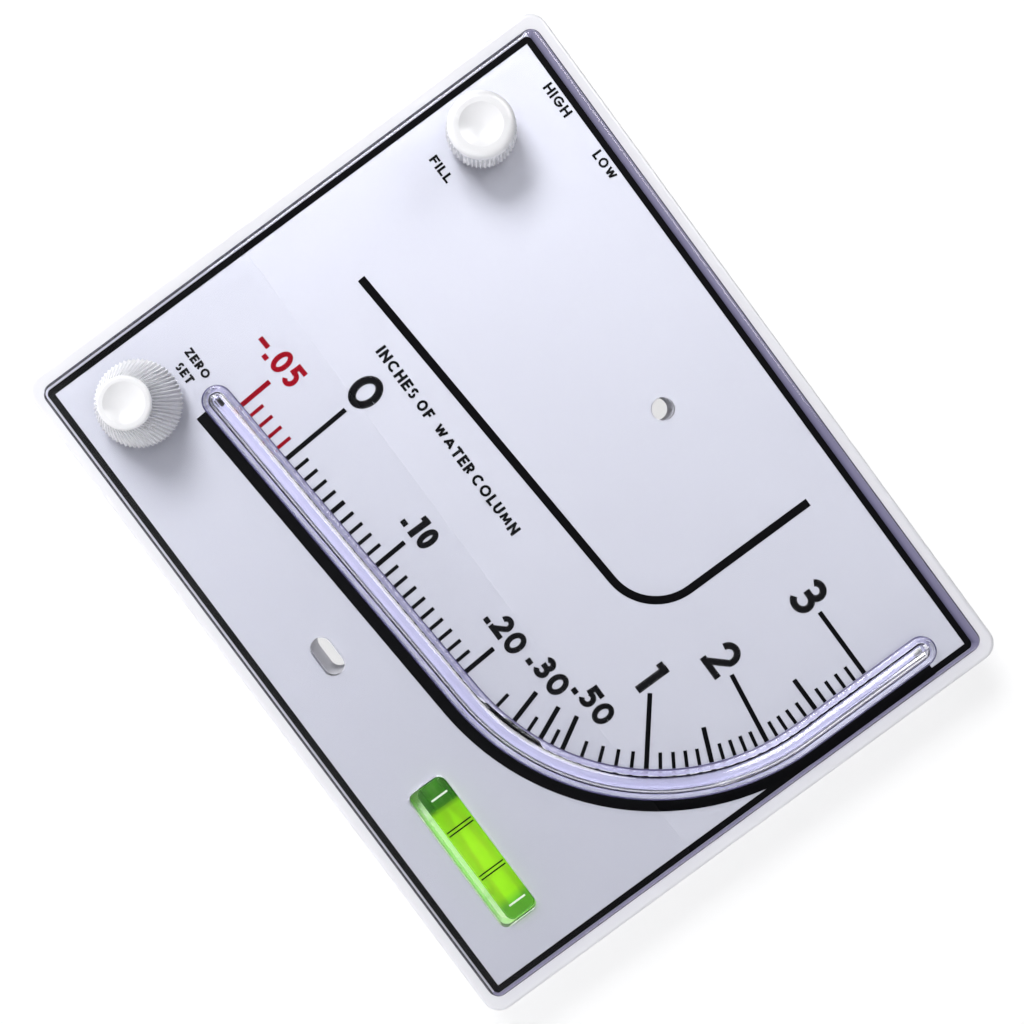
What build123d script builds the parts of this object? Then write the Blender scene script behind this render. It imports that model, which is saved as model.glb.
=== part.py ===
# Inclined and vertical tube manometer in a flat moulded case, for a wall.
# Millimetres. X runs to the right along the scale, +Z is up, and the wall is the plane Y = 0.
# A height h is measured from the wall towards the reader, so a point at height h has Y = -h.
# The origin is the middle of the case's flat back.
import os
from math import cos, degrees, pi, radians, sin, tan

from build123d import *

# Case
case_w = 195.0            # flange, across
case_h = 155.8            # flange, top to bottom
case_corner = 4.6         # flange corner radius
case_depth = 19.0         # wall to the flange's front face
flange_t = 3.0
flange_overhang = 6.5     # flange beyond the tub's wall
tub_corner = 5.0
wall_t = 2.5              # tub wall
floor_t = 2.5             # tub back
rim_round = 1.1           # flange front edge

# Clear front cover, with the raised bead that holds the bore
cover_side = 4.1          # flange left in view beside the cover
cover_end = 3.4           # flange left in view above and below the cover
cover_w = case_w - 2 * cover_side
cover_h = case_h - 2 * cover_end
cover_t = 3.0
cover_corner = 2.4
cover_round = 0.9
bead_r = 3.55
bore_r = 1.6
backing_t = 1.4           # clear strip that closes the bore from behind

# Indicating tube, on its centre line, placed from the case's edges
left_x = -case_w / 2
right_x = case_w / 2
bottom_z = -case_h / 2
top_z = case_h / 2
tube_start = (left_x + 31.4, bottom_z + 36.8)
tube_slope = 3.4          # degrees above level
tube_bend_r = 61.4
tube_leg_x = right_x - 11.8    # upright leg
tube_top_z = top_z - 17.0
port_l = 2.4              # passage at each end of the bore
port_w = 2.0
port_inset = 0.6          # passage's middle, along the tube from its end

# Scale: inches of water read on gauge oil of 0.826 relative density
inch = 25.4
oil_density = 0.826
well_area_ratio = 32.5    # free surface of the well over the section of the bore
zero_along = 21.5         # zero mark, along the tube from its start
long_mark = 19.2
half_mark = 9.4
short_mark = 4.5
heavy_line = 1.2
fine_line = 0.9
mark_start = 3.2          # near end of a mark, from the tube's centre line

# Printed plate
plate_t = 0.5
plate_margin = 0.5        # plate inside the cover's outline
ink_t = 0.1
border_w = cover_w - 1.6
border_h = cover_h - 2.7
border_z = -0.65
border_line = 1.65
band_near = 2.6           # dark band under the tube, from the centre line
band_far = 7.0
guide_start = (tube_start[0] - 3.2, tube_start[1] + 45.75)
guide_leg_x = tube_leg_x - 46.0
guide_top_z = tube_top_z - 0.5
guide_bend_r = 14.0
guide_line = 2.1

# Mounting holes
screw_hole_r = 2.85
screw_hole_z = top_z - 32.8
slot_l = 10.4
slot_w = 5.4
slot_z = bottom_z + 20.9
boss_wall = 2.6

# Spirit level, in its window
window_x = right_x - 37.5
window_z = bottom_z + 20.8
vial_x = window_x - 0.1
vial_z = window_z + 1.15
vial_l = 39.8
vial_h = 8.3              # top to bottom
vial_depth = 8.2
vial_bore_r = 3.1
vial_axis_h = 17.3
vial_round = 1.9
vial_edge_round = 0.5
vial_plug_l = 3.0
vial_mark_gap = 13.3      # middle of one pair of lines to the middle of the other
vial_pair_gap = 1.05
vial_mark_w = 0.35
vial_mark_t = 0.05
bubble_depth = 0.9
window_w = 41.0
window_h = 10.7
window_corner = 2.4
tray_depth = 9.2          # cover's face to the tray's floor
tray_wall = 2.0

# Zero adjustment
zero_x = left_x + 20.7
zero_z = bottom_z + 21.2
zero_pitch = 1.25
zero_turns_out = 4.0      # turns from rest until the plunger meets the well's roof
zero_knob_r = 10.95
zero_knob_top_r = 6.5
zero_knob_h = 20.0
zero_knob_gap = 1.4       # skirt to the cover's face, at rest
zero_dish_r = 5.0
zero_dish_depth = 1.3
zero_flutes = 60
flute_depth = 0.5
zero_screw_r = 3.0
zero_bush_r = 5.0
plunger_r = 7.92
plunger_l = 5.0
cylinder_r = 8.0
cylinder_wall = 2.0
ring_section_r = 0.93

# Fill plug
fill_x = left_x + 17.6
fill_z = top_z - 28.9
fill_knob_r = 8.65
fill_knob_top_r = 8.2
fill_knob_h = 15.0
fill_dish_r = 5.3
fill_dish_depth = 1.4
fill_flutes = 48
fill_shank_r = 3.95
fill_shank_l = 10.0       # thread that enters the bush
fill_bush_r = 5.6
fill_washer_t = 1.2

# Brass bushes
bush_flange_r = 7.0
bush_flange_t = 1.0
running_gap = 0.05        # radial, for a turning or sliding fit
seat_gap = 0.05           # radial, for a bonded or pressed piece

# Liquid well and internal passages
well_w = 26.0
well_h = 46.4
well_x = left_x + 22.2
well_z = bottom_z + 32.4
well_wall = 2.0
well_lid_t = 2.0
well_gasket_t = 0.8
tube_od = 5.0
tube_id = 3.0
passage_h = 9.2           # passages' height above the wall
tube_socket = 4.0         # how far a tube enters its socket
neck_socket = 1.6

# Pressure ports
high_x = left_x + 21.8
low_x = high_x + 19.5
port_tap_r = 4.3
port_tap_l = 9.0
port_body_r = 5.6
port_body_l = 11.0
port_collar_r = 6.5
port_collar_t = 1.2
trap_r = 3.2
trap_l = 12.0
float_r = 2.6
high_trap_x = high_x + 7.1
manifold_top_h = 12.0     # depth of the block's upper step, from the tub's top wall
manifold_bottom_z = top_z - 41.9
block_side = 14.8         # fill neck and outlet blocks, across
low_tube_run_z = manifold_bottom_z - 7.0

# Heights that follow
cover_front_h = case_depth + cover_t
plate_front_h = case_depth - ink_t
plate_back_h = plate_front_h - plate_t
tub_w = case_w - 2 * flange_overhang
tub_h = case_h - 2 * flange_overhang
inner_top_z = tub_h / 2 - wall_t
plate_w = cover_w - 2 * plate_margin
plate_h = cover_h - 2 * plate_margin
plate_corner = cover_corner - plate_margin
well_body_h = floor_t + well_lid_t + well_gasket_t
well_roof_h = plate_back_h - well_wall
tray_floor_h = cover_front_h - tray_depth
zero_knob_base_h = cover_front_h + zero_knob_gap
fill_knob_base_h = cover_front_h + fill_washer_t


def front(height):
    """The plane at a height above the wall, facing the reader, with Z up in it."""
    return Plane.XZ.offset(height)


def bend_centre():
    """Centre of the tube's bend."""
    x = tube_leg_x - tube_bend_r
    rise = tan(radians(tube_slope)) * (x - tube_start[0])
    return x, tube_start[1] + rise + tube_bend_r / cos(radians(tube_slope))


def tube_point(along):
    """Point and direction in degrees at a distance along the tube's centre line."""
    centre_x, centre_z = bend_centre()
    slope = radians(tube_slope)
    bend_start_x = centre_x + tube_bend_r * sin(slope)
    straight = (bend_start_x - tube_start[0]) / cos(slope)
    bend = tube_bend_r * (pi / 2 - slope)
    if along < straight:
        return tube_start[0] + along * cos(slope), tube_start[1] + along * sin(slope), tube_slope
    if along < straight + bend:
        turn = slope + (along - straight) / tube_bend_r
        x = centre_x + tube_bend_r * sin(turn)
        return x, centre_z - tube_bend_r * cos(turn), degrees(turn)
    return tube_leg_x, centre_z + along - straight - bend, 90.0


def mark_place(inches):
    """Place and direction of a reading: oil rises in the tube while the well falls a little."""
    zero_z_level = tube_point(zero_along)[1]
    low, high = 0.0, 300.0
    for _ in range(50):
        middle = (low + high) / 2
        rise = tube_point(middle)[1] - zero_z_level + (middle - zero_along) / well_area_ratio
        if rise < inches * inch / oil_density:
            low = middle
        else:
            high = middle
    return tube_point(low)


def leg_crossing():
    """Corner where the level leg and the upright leg would meet."""
    return tube_leg_x, tube_start[1] + tan(radians(tube_slope)) * (tube_leg_x - tube_start[0])


def tube_line():
    """The tube's centre line, drawn in the sketch or line that is open."""
    FilletPolyline(tube_start, leg_crossing(), (tube_leg_x, tube_top_z), radius=tube_bend_r)


def across_start(height):
    """Plane across the tube at its lower end: local x across the tube, local y to the reader."""
    slope = radians(tube_slope)
    return Plane(
        origin=(tube_start[0], -height, tube_start[1]),
        x_dir=(-sin(slope), 0, cos(slope)),
        z_dir=(cos(slope), 0, sin(slope)),
    )


def across_top(height):
    """Plane across the tube at its upper end: local x across the tube, local y to the reader."""
    return Plane(origin=(tube_leg_x, -height, tube_top_z), x_dir=(1, 0, 0), z_dir=(0, 0, -1))


def port_places():
    """Places of the passages at the tube's lower and upper ends, turned along the tube."""
    low_x, low_z, heading = tube_point(port_inset)
    return Location((low_x, low_z), heading), Location((tube_leg_x, tube_top_z - port_inset), 90)


# Rear housing: white moulded tub, with bosses for the screws and a tray for the spirit level
post_shares = [(-0.15, 0.05), (0.18, -0.05), (-0.18, -0.385), (0.15, 0.42), (-0.31, 0.05), (0.32, 0.13)]
post_places = [(across * case_w, up * case_h) for across, up in post_shares]
post_r = 2.6
saddle_t = 1.6            # ribs that carry the vial
saddle_reach = 12.0       # ribs, either side of the vial's middle
with BuildPart() as rear_housing:
    with BuildSketch(front(0)):
        RectangleRounded(tub_w, tub_h, tub_corner)
    extrude(amount=case_depth - flange_t)
    with BuildSketch(front(case_depth - flange_t)):
        RectangleRounded(case_w, case_h, case_corner)
    extrude(amount=flange_t)
    fillet(rear_housing.faces().sort_by(Axis.Y)[0].outer_wire().edges(), radius=rim_round)
    with BuildSketch(front(floor_t)):
        RectangleRounded(tub_w - 2 * wall_t, tub_h - 2 * wall_t, tub_corner - wall_t)
    extrude(amount=case_depth, mode=Mode.SUBTRACT)
    with BuildSketch(front(plate_back_h)):
        RectangleRounded(plate_w + 2 * seat_gap, plate_h + 2 * seat_gap, plate_corner)
    extrude(amount=case_depth, mode=Mode.SUBTRACT)
    with BuildSketch(front(floor_t)):
        with Locations((0, screw_hole_z)):
            Circle(screw_hole_r + boss_wall)
        with Locations((0, slot_z)):
            SlotOverall(slot_l + 2 * boss_wall, slot_w + 2 * boss_wall)
        with Locations(*post_places):
            Circle(post_r)
        with Locations((window_x, window_z)):
            RectangleRounded(window_w + 2 * tray_wall, window_h + 2 * tray_wall, window_corner + tray_wall)
    extrude(amount=plate_back_h - floor_t)
    with BuildSketch(front(tray_floor_h)):
        with Locations((window_x, window_z)):
            RectangleRounded(window_w, window_h, window_corner)
    extrude(amount=case_depth, mode=Mode.SUBTRACT)
    with BuildSketch(front(tray_floor_h)):
        with Locations((vial_x - saddle_reach, window_z), (vial_x + saddle_reach, window_z)):
            Rectangle(saddle_t, window_h)
    extrude(amount=vial_axis_h - vial_depth / 2 - tray_floor_h)
    with BuildSketch(front(0)):
        with Locations((0, screw_hole_z)):
            Circle(screw_hole_r)
        with Locations((0, slot_z)):
            SlotOverall(slot_l, slot_w)
    extrude(amount=case_depth, mode=Mode.SUBTRACT)
    with BuildSketch(Plane.XY.offset(inner_top_z)):
        with Locations((high_x, -passage_h), (low_x, -passage_h)):
            Circle(port_body_r + seat_gap)
    extrude(amount=2 * wall_t, mode=Mode.SUBTRACT)
rear_housing.part.label = "rear_housing"

# Front cover: clear, with a rounded bead over the bore, which is open from behind until it is backed
with BuildPart() as front_cover:
    with BuildSketch(front(case_depth)):
        RectangleRounded(cover_w, cover_h, cover_corner)
    extrude(amount=cover_t)
    fillet(front_cover.faces().sort_by(Axis.Y)[0].outer_wire().edges(), radius=cover_round)
    with BuildLine(front(cover_front_h)) as bead_path:
        tube_line()
    with BuildSketch(across_start(cover_front_h)):
        Circle(bead_r)
        Rectangle(4 * bead_r, 4 * bead_r, align=(Align.CENTER, Align.MAX), mode=Mode.SUBTRACT)
    sweep(path=bead_path.wire())
    with BuildSketch(across_start(cover_front_h)):
        Circle(bead_r)
        Rectangle(bead_r, 2 * bead_r, align=(Align.MAX, Align.CENTER), mode=Mode.SUBTRACT)
        Rectangle(2 * bead_r, bead_r, align=(Align.CENTER, Align.MAX), mode=Mode.SUBTRACT)
    revolve(axis=Axis((tube_start[0], 0, tube_start[1]), (0, 1, 0)), revolution_arc=360)
    with BuildSketch(across_top(cover_front_h)):
        Circle(bead_r)
        Rectangle(bead_r, 2 * bead_r, align=(Align.MAX, Align.CENTER), mode=Mode.SUBTRACT)
        Rectangle(2 * bead_r, bead_r, align=(Align.CENTER, Align.MAX), mode=Mode.SUBTRACT)
    revolve(axis=Axis((tube_leg_x, 0, tube_top_z), (0, 1, 0)), revolution_arc=360)
    with BuildSketch(across_start(cover_front_h)):
        Circle(bore_r)
        Rectangle(2 * bore_r, cover_t, align=(Align.CENTER, Align.MAX))
    sweep(path=bead_path.wire(), mode=Mode.SUBTRACT)
    with BuildSketch(across_start(cover_front_h)):
        Circle(bore_r)
        Rectangle(2 * bore_r, cover_t, align=(Align.CENTER, Align.MAX))
        Rectangle(bore_r, 3 * cover_t, align=(Align.MAX, Align.CENTER), mode=Mode.SUBTRACT)
    revolve(axis=Axis((tube_start[0], 0, tube_start[1]), (0, 1, 0)), mode=Mode.SUBTRACT)
    with BuildSketch(across_top(cover_front_h)):
        Circle(bore_r)
        Rectangle(2 * bore_r, cover_t, align=(Align.CENTER, Align.MAX))
        Rectangle(bore_r, 3 * cover_t, align=(Align.MAX, Align.CENTER), mode=Mode.SUBTRACT)
    revolve(axis=Axis((tube_leg_x, 0, tube_top_z), (0, 1, 0)), mode=Mode.SUBTRACT)
    with BuildSketch(front(case_depth)):
        with Locations((0, screw_hole_z)):
            Circle(screw_hole_r)
        with Locations((0, slot_z)):
            SlotOverall(slot_l, slot_w)
        with Locations((window_x, window_z)):
            RectangleRounded(window_w, window_h, window_corner)
        with Locations((zero_x, zero_z)):
            Circle(zero_bush_r + seat_gap)
        with Locations((fill_x, fill_z)):
            Circle(fill_bush_r + seat_gap)
    extrude(amount=cover_t, mode=Mode.SUBTRACT)
    with BuildSketch(front(cover_front_h - bush_flange_t)):
        with Locations((zero_x, zero_z), (fill_x, fill_z)):
            Circle(bush_flange_r + seat_gap)
    extrude(amount=bush_flange_t, mode=Mode.SUBTRACT)
front_cover.part.label = "front_cover"

# Tube backing: clear strip in the cover's groove, with the passage at each end of the bore
with BuildPart() as tube_backing:
    with BuildSketch(front(case_depth)):
        with BuildLine():
            tube_line()
            offset(amount=bore_r - seat_gap, side=Side.BOTH)
        make_face()
        with Locations(*port_places()):
            Rectangle(port_l, port_w, mode=Mode.SUBTRACT)
    extrude(amount=backing_t)
tube_backing.part.label = "tube_backing"

# Scale plate: thin aluminium in the housing's rebate, pierced for what passes through it
with BuildPart() as scale_plate:
    with BuildSketch(front(plate_back_h)):
        RectangleRounded(plate_w, plate_h, plate_corner)
        with Locations((0, screw_hole_z)):
            Circle(screw_hole_r + 2 * seat_gap, mode=Mode.SUBTRACT)
        with Locations((0, slot_z)):
            SlotOverall(slot_l + 4 * seat_gap, slot_w + 4 * seat_gap, mode=Mode.SUBTRACT)
        with Locations((window_x, window_z)):
            RectangleRounded(window_w, window_h, window_corner, mode=Mode.SUBTRACT)
        with Locations((zero_x, zero_z)):
            Circle(zero_bush_r + seat_gap, mode=Mode.SUBTRACT)
        with Locations((fill_x, fill_z)):
            Circle(fill_bush_r + seat_gap, mode=Mode.SUBTRACT)
        with Locations(*port_places()):
            Rectangle(port_l, port_w, mode=Mode.SUBTRACT)
    extrude(amount=plate_t)
scale_plate.part.label = "scale_plate"


def mark(inches, length, width):
    """One graduation, square to the tube, drawn in the open sketch."""
    x, z, heading = mark_place(inches)
    middle = mark_start + length / 2
    x -= middle * sin(radians(heading))
    z += middle * cos(radians(heading))
    with Locations(Location((x, z), heading)):
        Rectangle(width, length)


# Black ink: border, guide line, dark band under the tube, and the graduations from zero up
with BuildPart() as scale_print_black:
    with BuildSketch(front(plate_front_h)):
        with Locations((0, border_z)):
            Rectangle(border_w, border_h)
            Rectangle(border_w - 2 * border_line, border_h - 2 * border_line, mode=Mode.SUBTRACT)
        with BuildLine():
            tube_line()
            offset(amount=band_far, side=Side.RIGHT)
        make_face()
        with BuildLine():
            tube_line()
            offset(amount=band_near, side=Side.RIGHT)
        make_face(mode=Mode.SUBTRACT)
        for tenth in range(31):
            reading = tenth / 10
            if tenth % 10 == 0:
                mark(reading, long_mark, heavy_line)
            elif tenth % 5 == 0 or tenth < 5:
                mark(reading, half_mark, heavy_line)
            else:
                mark(reading, short_mark, fine_line)
        for hundredth in range(1, 20):
            if hundredth % 10:
                mark(hundredth / 100, short_mark, heavy_line if hundredth == 5 else fine_line)
        for hundredth in (25, 35, 45):
            mark(hundredth / 100, short_mark, fine_line)
        RectangleRounded(plate_w, plate_h, plate_corner, mode=Mode.INTERSECT)
    extrude(amount=ink_t)
    with BuildSketch(front(plate_front_h)):
        with BuildLine():
            guide_rise = tan(radians(tube_slope)) * (guide_leg_x - guide_start[0])
            guide_corner = (guide_leg_x, guide_start[1] + guide_rise)
            FilletPolyline(guide_start, guide_corner, (guide_leg_x, guide_top_z), radius=guide_bend_r)
        trace(line_width=guide_line)
    extrude(amount=ink_t)
scale_print_black.part.label = "scale_print_black"

# Red ink: the five graduations below zero
with BuildPart() as scale_print_red:
    with BuildSketch(front(plate_front_h)):
        for hundredth in range(1, 5):
            mark(-hundredth / 100, short_mark, fine_line)
        mark(-5 / 100, half_mark, heavy_line)
    extrude(amount=ink_t)
scale_print_red.part.label = "scale_print_red"

# Spirit level: clear block bored from its left end, a plug in that end, liquid with a bubble
vial_left = vial_x - vial_l / 2
vial_front_h = vial_axis_h + vial_depth / 2
with BuildPart() as level_vial:
    with BuildSketch(front(vial_front_h - vial_depth)):
        with Locations((vial_x, vial_z)):
            RectangleRounded(vial_l, vial_h, vial_round)
    extrude(amount=vial_depth)
    fillet(level_vial.faces().sort_by(Axis.Y)[0].outer_wire().edges(), radius=vial_edge_round)
    with BuildSketch(Plane.YZ.offset(vial_left)):
        with Locations((-vial_axis_h, vial_z)):
            Circle(vial_bore_r)
    extrude(amount=vial_l - vial_plug_l, mode=Mode.SUBTRACT)
level_vial.part.label = "level_vial"

with BuildPart() as vial_plug:
    with BuildSketch(Plane.YZ.offset(vial_left)):
        with Locations((-vial_axis_h, vial_z)):
            Circle(vial_bore_r - running_gap)
    extrude(amount=vial_plug_l)
vial_plug.part.label = "vial_plug"

bubble_r = vial_mark_gap * vial_mark_gap / (8 * bubble_depth)
with BuildPart() as vial_liquid:
    with BuildSketch(Plane.YZ.offset(vial_left + vial_plug_l)):
        with Locations((-vial_axis_h, vial_z)):
            Circle(vial_bore_r - running_gap)
    extrude(amount=vial_l - 2 * vial_plug_l)
    with BuildSketch(front(vial_front_h - vial_depth)):
        with Locations((vial_x, vial_z + vial_bore_r - bubble_depth + bubble_r)):
            Circle(bubble_r)
    extrude(amount=vial_depth, mode=Mode.SUBTRACT)
vial_liquid.part.label = "vial_liquid"

with BuildPart() as vial_marks:
    with BuildSketch(front(vial_front_h)):
        for side in (-1, 1):
            for step in (-1, 1):
                with Locations((vial_x + side * vial_mark_gap / 2 + step * vial_pair_gap / 2, vial_z)):
                    Rectangle(vial_mark_w, vial_h - 2 * vial_edge_round)
    extrude(amount=vial_mark_t)
vial_marks.part.label = "vial_marks"


def fluted_outline(radius, flutes):
    """Closed outline with V flutes, tips at the radius, drawn in the open sketch."""
    step = pi / flutes
    points = []
    for index in range(2 * flutes):
        reach = radius if index % 2 == 0 else radius - flute_depth
        points.append((reach * cos(index * step), reach * sin(index * step)))
    Polygon(*points, align=None)


def cylinder_piece(x, z, low, high, radius):
    """Sketch and extrude one round, between two heights, in the open part."""
    with BuildSketch(front(low)) as section:
        with Locations((x, z)):
            Circle(radius)
    extrude(section.sketch, amount=high - low)


# Zero knob: conical and fluted, with a plain crown that is dished for a fingertip
crown_h = 1.6
crown_round = 0.8
knob_wall = 2.0
hub_r = 5.0
hub_socket = 9.0
zero_crown_h = zero_knob_base_h + zero_knob_h - crown_h
zero_axis = Axis((zero_x, 0, zero_z), (0, 1, 0))
with BuildPart() as zero_set_knob:
    with BuildSketch(front(zero_knob_base_h)):
        with Locations((zero_x, zero_z)):
            fluted_outline(zero_knob_r, zero_flutes)
    with BuildSketch(front(zero_crown_h)):
        with Locations((zero_x, zero_z)):
            fluted_outline(zero_knob_top_r + flute_depth / 2, zero_flutes)
    loft(ruled=True)
    cylinder_piece(zero_x, zero_z, zero_crown_h, zero_crown_h + crown_h, zero_knob_top_r)
    fillet(zero_set_knob.faces().sort_by(Axis.Y)[0].outer_wire().edges(), radius=crown_round)
    dish_sphere_r = (zero_dish_r ** 2 + zero_dish_depth ** 2) / (2 * zero_dish_depth)
    dish_h = zero_crown_h + crown_h - zero_dish_depth + dish_sphere_r
    with Locations((zero_x, -dish_h, zero_z)):
        Sphere(dish_sphere_r, mode=Mode.SUBTRACT)
    with BuildSketch(Plane((zero_x, -zero_knob_base_h, zero_z), x_dir=(1, 0, 0), z_dir=(0, 0, 1))):
        with BuildLine():
            hollow_h = zero_knob_h - crown_h - 2 * knob_wall
            hollow_out = zero_knob_r - flute_depth - knob_wall
            hollow_in = zero_knob_top_r - knob_wall / 2
            Polyline((hub_r, 0), (hollow_out, 0), (hollow_in, -hollow_h), (hub_r, -hollow_h), close=True)
        make_face()
    revolve(axis=zero_axis, mode=Mode.SUBTRACT)
    with BuildSketch(front(zero_knob_base_h)):
        with Locations((zero_x, zero_z)):
            Circle(zero_screw_r + seat_gap)
    extrude(amount=hub_socket, mode=Mode.SUBTRACT)
zero_set_knob.part.label = "zero_set_knob"

# Zero screw: runs from the knob's hub through the bush to the plunger's socket
plunger_top_h = well_roof_h - zero_pitch * zero_turns_out - 4 * running_gap
plunger_floor = 1.4
plunger_socket = plunger_l - plunger_floor
screw_tip_r = 2.4
screw_chamfer = 0.4
with BuildPart() as zero_set_screw:
    cylinder_piece(zero_x, zero_z, plunger_top_h - plunger_socket, plunger_top_h, screw_tip_r)
    cylinder_piece(zero_x, zero_z, plunger_top_h, zero_knob_base_h + hub_socket, zero_screw_r)
    chamfer(zero_set_screw.faces().sort_by(Axis.Y)[0].edges(), length=screw_chamfer)
zero_set_screw.part.label = "zero_set_screw"

# Zero bush: brass, flush in the cover, with its bore for the screw
with BuildPart() as zero_set_bushing:
    cylinder_piece(zero_x, zero_z, well_roof_h, cover_front_h - bush_flange_t, zero_bush_r)
    cylinder_piece(zero_x, zero_z, cover_front_h - bush_flange_t, cover_front_h, bush_flange_r)
    with BuildSketch(front(0)):
        with Locations((zero_x, zero_z)):
            Circle(zero_screw_r + running_gap)
    extrude(amount=cover_front_h, mode=Mode.SUBTRACT)
zero_set_bushing.part.label = "zero_set_bushing"

# Plunger: slides in the well's cylinder without turning, sealed by its ring
groove_w = 2.2 * ring_section_r
groove_r = plunger_r - 2 * ring_section_r
with BuildPart() as zero_set_plunger:
    cylinder_piece(zero_x, zero_z, plunger_top_h - plunger_l, plunger_top_h, plunger_r)
    with BuildSketch(front(plunger_top_h - plunger_l / 2 - groove_w / 2)):
        with Locations((zero_x, zero_z)):
            Circle(plunger_r)
            Circle(groove_r, mode=Mode.SUBTRACT)
    extrude(amount=groove_w, mode=Mode.SUBTRACT)
    with BuildSketch(front(plunger_top_h - plunger_socket)):
        with Locations((zero_x, zero_z)):
            Circle(screw_tip_r + running_gap)
    extrude(amount=plunger_socket, mode=Mode.SUBTRACT)
zero_set_plunger.part.label = "zero_set_plunger"

with BuildPart() as plunger_o_ring:
    with Locations(Location((zero_x, plunger_l / 2 - plunger_top_h, zero_z), (90, 0, 0))):
        Torus(plunger_r - ring_section_r, ring_section_r)
plunger_o_ring.part.label = "plunger_o_ring"

# Fill plug: fluted grip with a rounded, dished end, on a shank that screws into its bush
fill_top_h = fill_knob_base_h + fill_knob_h
fill_crown_h = 4.2
fill_flute_top_h = fill_top_h - fill_crown_h
fill_round = 1.9
fill_tip_chamfer = 0.5
with BuildPart() as fill_plug:
    with BuildSketch(front(fill_knob_base_h)):
        with Locations((fill_x, fill_z)):
            fluted_outline(fill_knob_r, fill_flutes)
    with BuildSketch(front(fill_flute_top_h)):
        with Locations((fill_x, fill_z)):
            fluted_outline(fill_knob_top_r + flute_depth / 2, fill_flutes)
    loft(ruled=True)
    cylinder_piece(fill_x, fill_z, fill_flute_top_h, fill_top_h, fill_knob_top_r)
    fillet(fill_plug.faces().sort_by(Axis.Y)[0].outer_wire().edges(), radius=fill_round)
    dish_sphere_r = (fill_dish_r ** 2 + fill_dish_depth ** 2) / (2 * fill_dish_depth)
    dish_h = fill_top_h - fill_dish_depth + dish_sphere_r
    with Locations((fill_x, -dish_h, fill_z)):
        Sphere(dish_sphere_r, mode=Mode.SUBTRACT)
    cylinder_piece(fill_x, fill_z, cover_front_h - fill_shank_l, fill_knob_base_h, fill_shank_r)
    chamfer(fill_plug.faces().sort_by(Axis.Y)[-1].edges(), length=fill_tip_chamfer)
fill_plug.part.label = "fill_plug"

with BuildPart() as fill_plug_washer:
    with BuildSketch(front(cover_front_h)):
        with Locations((fill_x, fill_z)):
            Circle(bush_flange_r - 2 * running_gap)
            Circle(fill_shank_r + running_gap, mode=Mode.SUBTRACT)
    extrude(amount=fill_washer_t)
fill_plug_washer.part.label = "fill_plug_washer"

fill_bush_spare = 1.5     # bush beyond the shank's tip
fill_bush_h = cover_front_h - fill_shank_l - fill_bush_spare
with BuildPart() as fill_bushing:
    cylinder_piece(fill_x, fill_z, fill_bush_h, cover_front_h - bush_flange_t, fill_bush_r)
    cylinder_piece(fill_x, fill_z, cover_front_h - bush_flange_t, cover_front_h, bush_flange_r)
    with BuildSketch(front(fill_bush_h)):
        with Locations((fill_x, fill_z)):
            Circle(fill_shank_r + running_gap)
    extrude(amount=cover_front_h, mode=Mode.SUBTRACT)
fill_bushing.part.label = "fill_bushing"

# Fill neck: block behind the fill plug, which leads the liquid down to the well
with BuildPart() as fill_neck:
    with BuildSketch(front(floor_t)):
        with Locations((fill_x, fill_z)):
            Rectangle(block_side, block_side)
    extrude(amount=plate_back_h - floor_t)
    with BuildSketch(front(fill_bush_h)):
        with Locations((fill_x, fill_z)):
            Circle(fill_bush_r + seat_gap)
    extrude(amount=case_depth, mode=Mode.SUBTRACT)
    with BuildSketch(front(passage_h - tube_id / 2)):
        with Locations((fill_x, fill_z)):
            Circle(fill_shank_r - tube_id / 4)
    extrude(amount=case_depth, mode=Mode.SUBTRACT)
    with BuildSketch(Plane.XY.offset(fill_z)):
        with Locations((fill_x, -passage_h)):
            Circle(tube_id / 2)
    extrude(amount=-block_side, mode=Mode.SUBTRACT)
    with BuildSketch(Plane.XY.offset(fill_z - block_side / 2)):
        with Locations((fill_x, -passage_h)):
            Circle(tube_od / 2 + seat_gap)
    extrude(amount=neck_socket, mode=Mode.SUBTRACT)
fill_neck.part.label = "fill_neck"

# Liquid well: cup moulded with the zero cylinder, open to the back, with a gasket and a lid
well_top_z = well_z + well_h / 2
air_tube_x = high_trap_x
with BuildPart() as well_body:
    with BuildSketch(front(well_body_h)):
        with Locations((well_x, well_z)):
            RectangleRounded(well_w, well_h, well_wall)
    extrude(amount=plate_back_h - well_body_h)
    with BuildSketch(front(well_body_h)):
        with Locations((well_x, well_z)):
            Rectangle(well_w - 2 * well_wall, well_h - 2 * well_wall)
    extrude(amount=well_roof_h - well_body_h, mode=Mode.SUBTRACT)
    with BuildSketch(front(well_body_h + well_wall)):
        with Locations((zero_x, zero_z)):
            Circle(cylinder_r + cylinder_wall)
    extrude(amount=well_roof_h - well_body_h - well_wall)
    with BuildSketch(front(well_body_h)):
        with Locations((zero_x, zero_z)):
            Circle(cylinder_r)
    extrude(amount=well_roof_h - well_body_h, mode=Mode.SUBTRACT)
    with BuildSketch(front(well_roof_h)):
        with Locations((zero_x, zero_z)):
            Circle(zero_bush_r + seat_gap)
        with Locations(port_places()[0]):
            Rectangle(port_l, port_w)
    extrude(amount=well_wall, mode=Mode.SUBTRACT)
    with BuildSketch(Plane.XY.offset(well_top_z - well_wall)):
        with Locations((fill_x, -passage_h), (air_tube_x, -passage_h)):
            Circle(tube_od / 2 + seat_gap)
    extrude(amount=well_wall, mode=Mode.SUBTRACT)
well_body.part.label = "well_body"

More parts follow.
